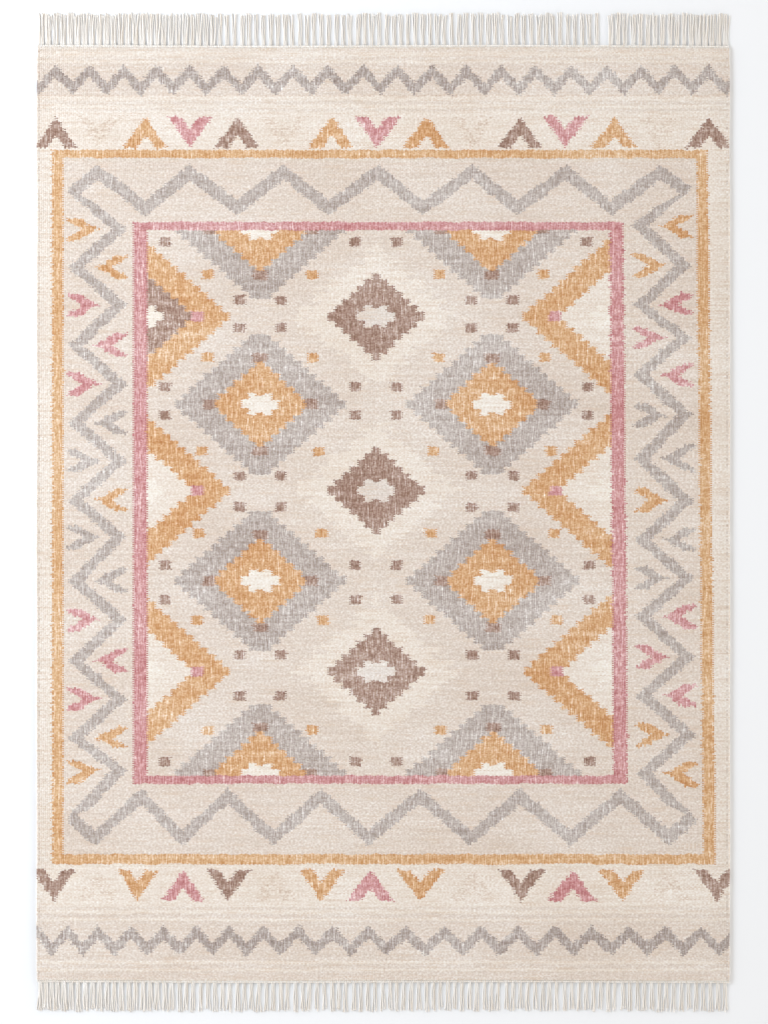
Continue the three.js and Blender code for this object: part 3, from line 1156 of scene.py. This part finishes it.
# Painted shade: the strips along the frames' upright edges are made deeper, so the uptake carries this
# painted slit shade as well as the uneven dye.
in_dyed = add(wool, "Math", slit_shade, SLIT_SHADE_DEPTH, in_dyed, operation="MULTIPLY_ADD")
uptake_and_slit_shade = add(wool, "Math", in_dyed, dyed, in_all, operation="MULTIPLY_ADD")
yarns = add(wool, "Gamma", pattern, uptake_and_slit_shade)

tan_marks = mottle(wool, true_x, bead_middle, TAN_STREAKS, detail=1.0)
tan_streak = add(wool, "MapRange", tan_marks, TAN_NONE, TAN_FULL, 0.0, TAN_MOST)
turn_line = add(
    wool, "Math", apart(true_x, 0.0), HALF_WIDTH - TURN_LINE_IN, TURN_LINE_HALF, operation="COMPARE"
)
turn_marks = mottle(wool, true_x, true_y, TURN_MARKS, detail=1.0)
turn_seen = add(wool, "MapRange", turn_marks, TURN_NONE, TURN_FULL, 0.0, TURN_MOST)
yarns = lay_over(yarns, (TAN, product(tan_streak, undyed)), (BROWN, product(turn_line, turn_seen)))
print("nodes so far:", len(wool.nodes))

# %% [markdown]
# ### Relief of the beads
# Each bead is a little dome, across its warp and along it, with fibres on it and here and
# there a slub, where the yarn was spun too thick. The ribs are real in the mesh, so the
# bump only adds what lies on them. A dome is about half a millimetre high, and fibres and
# slubs are given as shares of it.

# %% Wool surface
BEAD_RELIEF = 0.6
FIBRES, FIBRE_SHARE = (2.25, 0.9), 0.5
SLUBS, SLUB_SHARE, SLUB_LEAN = (10, 3.2), 1.8, -0.7
WOOL_SHINE = {"Roughness": 0.95, "Specular IOR Level": 0.2, "Sheen Weight": 0.2}


def finish_yarn(tree, colour, height, relief, shine):
    """End a tree as matt yarn with a soft bloom and a relief of this many millimetres."""
    normal = add(tree, "Bump", named={"Distance": relief * MM, "Height": height})
    look = {"Base Color": colour, "Normal": normal, "Sheen Roughness": 0.5, **shine}
    add(tree, "OutputMaterial", add(tree, "BsdfPrincipled", named=look))


def dome(share):
    """A parabola over each bead: 1 in its middle and 0 at its edges."""
    from_middle = apart(add(wool, "Math", share, operation="FRACT"), 0.5)
    return add(wool, "Math", product(from_middle, from_middle), -4.0, 1.0, operation="MULTIPLY_ADD")


fibre = mottle(wool, true_x, true_y, FIBRES)
relief = product(dome(bead_share), dome(rib_share))
relief = add(wool, "Math", fibre, FIBRE_SHARE, relief, operation="MULTIPLY_ADD")
leaning = add(wool, "Math", true_x, SLUB_LEAN, true_y, operation="MULTIPLY_ADD")
slub = mottle(wool, true_x, leaning, SLUBS)
relief = add(wool, "Math", slub, SLUB_SHARE, relief, operation="MULTIPLY_ADD")
finish_yarn(wool, yarns, relief, BEAD_RELIEF, WOOL_SHINE)
print("wool nodes:", len(wool.nodes))

# %% [markdown]
# ### Cotton warp
# The warps are undyed cotton, plied from a few strands, so each end of the fringe is an
# off-white yarn with slanting ply lines. The ply is drawn as a wave that slants across the
# yarn, and neighbouring yarns differ a little in tone.

# %% Cotton finish
PLY_PITCH = 3.6
PLY_SLANT = 1.2
PLY_RELIEF = 0.1
TONES, TONE_NEW, TONE_OLD = (3, 70), 0.35, 0.75
COTTON_SHINE = {"Roughness": 0.9, "Specular IOR Level": 0.25, "Sheen Weight": 0.15}

cotton_finish, cotton = new_finish("cotton_warp_plied")
cotton_x, cotton_y = place_in_mm(cotton)
tone = mottle(cotton, cotton_x, cotton_y, TONES)
tone = add(cotton, "MapRange", tone, TONE_NEW, TONE_OLD, 0.0, 1.0)
cotton_shade = add(cotton, "Mix", tone, COTTON, OLD_COTTON, data_type="RGBA")
slant = add(cotton, "Math", cotton_x, PLY_SLANT, cotton_y, operation="MULTIPLY_ADD")
ply = add(cotton, "Math", slant, 2 * math.pi / PLY_PITCH, operation="MULTIPLY")
ply = add(cotton, "Math", ply, operation="SINE")
finish_yarn(cotton, cotton_shade, ply, PLY_RELIEF, COTTON_SHINE)
print("cotton nodes:", len(cotton.nodes))

# %% [markdown]
# ## Putting the rug together
# The floor is a plain pale sheet that isn't part of the rug. Every piece rides on the one
# body.

# %% Floor and pieces
FLOOR_SIZE = 14000
FLOOR_DROP = 0.1

deselect()
bpy.ops.mesh.primitive_plane_add(size=FLOOR_SIZE * MM, location=(0, 0, -FLOOR_DROP * MM))
floor = start_piece("studio_floor")
floor_finish, floor_tree = new_finish("matt_white_floor")
floor_surface = add(
    floor_tree,
    "BsdfPrincipled",
    named={"Base Color": shade("#EDEEF0"), "Roughness": 0.95, "Specular IOR Level": 0.1},
)
add(floor_tree, "OutputMaterial", floor_surface)
floor.data.materials.append(floor_finish)

for piece, finish, slot in (
    (cloth, wool_finish, "wool_flatweave"),
    (left_side, wool_finish, "wool_flatweave"),
    (right_side, wool_finish, "wool_flatweave"),
    (head, cotton_finish, "cotton_warp"),
    (foot, cotton_finish, "cotton_warp"),
):
    piece.data.materials.clear()
    piece.data.materials.append(finish)
    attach(piece, "root")
for piece in (cloth, left_side, right_side):
    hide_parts("woven_cloth")
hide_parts("head_fringe")
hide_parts("foot_fringe")

# %% [markdown]
# ## Light and camera
# The studio light is soft: a tent with pale walls, brighter near the floor than overhead
# and brighter at the right than at the left, and one wide lamp low on the left. A rug is
# so thin that only light from low down gives it a soft shadow and leaves the floor grey
# between the locks of the fringe. The lamp leaves the rug's right side a little darker.
# The camera looks straight down from high up, as in the photo.

# %% Light
TENT_WALL = (3.10, 3.02, 2.91, 1)
TENT_ROOF = (0.484, 0.471, 0.454, 1)
WALL_TOP, ROOF_START = 0.25, 0.50
RIGHT_WALL = 0.3
LAMP_PLACE = (-5000, 1500, 2400)
LAMP_SIZE = 2000
LAMP_POWER = 262
LAMP_COLOUR = (0.90, 1.0, 1.12)

tent = bpy.data.worlds.new("pale_light_tent")
tent.use_nodes = True
sky = tent.node_tree
sky.nodes.clear()
way = add(sky, "TexCoord", output="Generated")
sideways, upward = [add(sky, "SeparateXYZ", way, output=axis) for axis in "XZ"]
overhead = add(sky, "MapRange", upward, WALL_TOP, ROOF_START, 0.0, 1.0)
tent_colour = add(sky, "Mix", overhead, TENT_WALL, TENT_ROOF, data_type="RGBA")
tent_strength = add(sky, "MapRange", sideways, -1.0, 1.0, 1 - RIGHT_WALL, 1 + RIGHT_WALL)
add(sky, "OutputWorld", add(sky, "Background", tent_colour, tent_strength))
bpy.context.scene.world = tent

deselect()
bpy.ops.object.light_add(type="AREA", location=[place * MM for place in LAMP_PLACE])
lamp = bpy.context.object
lamp.name = "wide_soft_lamp"
lamp.rotation_euler = lamp.location.to_track_quat("Z", "Y").to_euler()
lamp.data.size = LAMP_SIZE * MM
lamp.data.energy = LAMP_POWER
lamp.data.color = LAMP_COLOUR
lamp.visible_camera = False
bpy.context.scene.view_settings.view_transform = "Standard"
print("lamp is", round(lamp.location.length, 1), "m away")

# %% Camera
LENS = 85
SENSOR = 36
FRAME_HEIGHT = 2359.8
LOOK_AT_X = 2.0
LOOK_AT_Y = 0.6

camera_height = LENS / SENSOR * FRAME_HEIGHT + CLOTH_THICKNESS
bpy.ops.object.camera_add(
    location=(LOOK_AT_X * MM, LOOK_AT_Y * MM, camera_height * MM), rotation=(0, 0, 0)
)
camera = bpy.context.object
camera.name = "camera_above"
camera.data.lens = LENS
camera.data.sensor_width = SENSOR
bpy.context.scene.camera = camera
print("camera height:", round(camera_height), "mm")
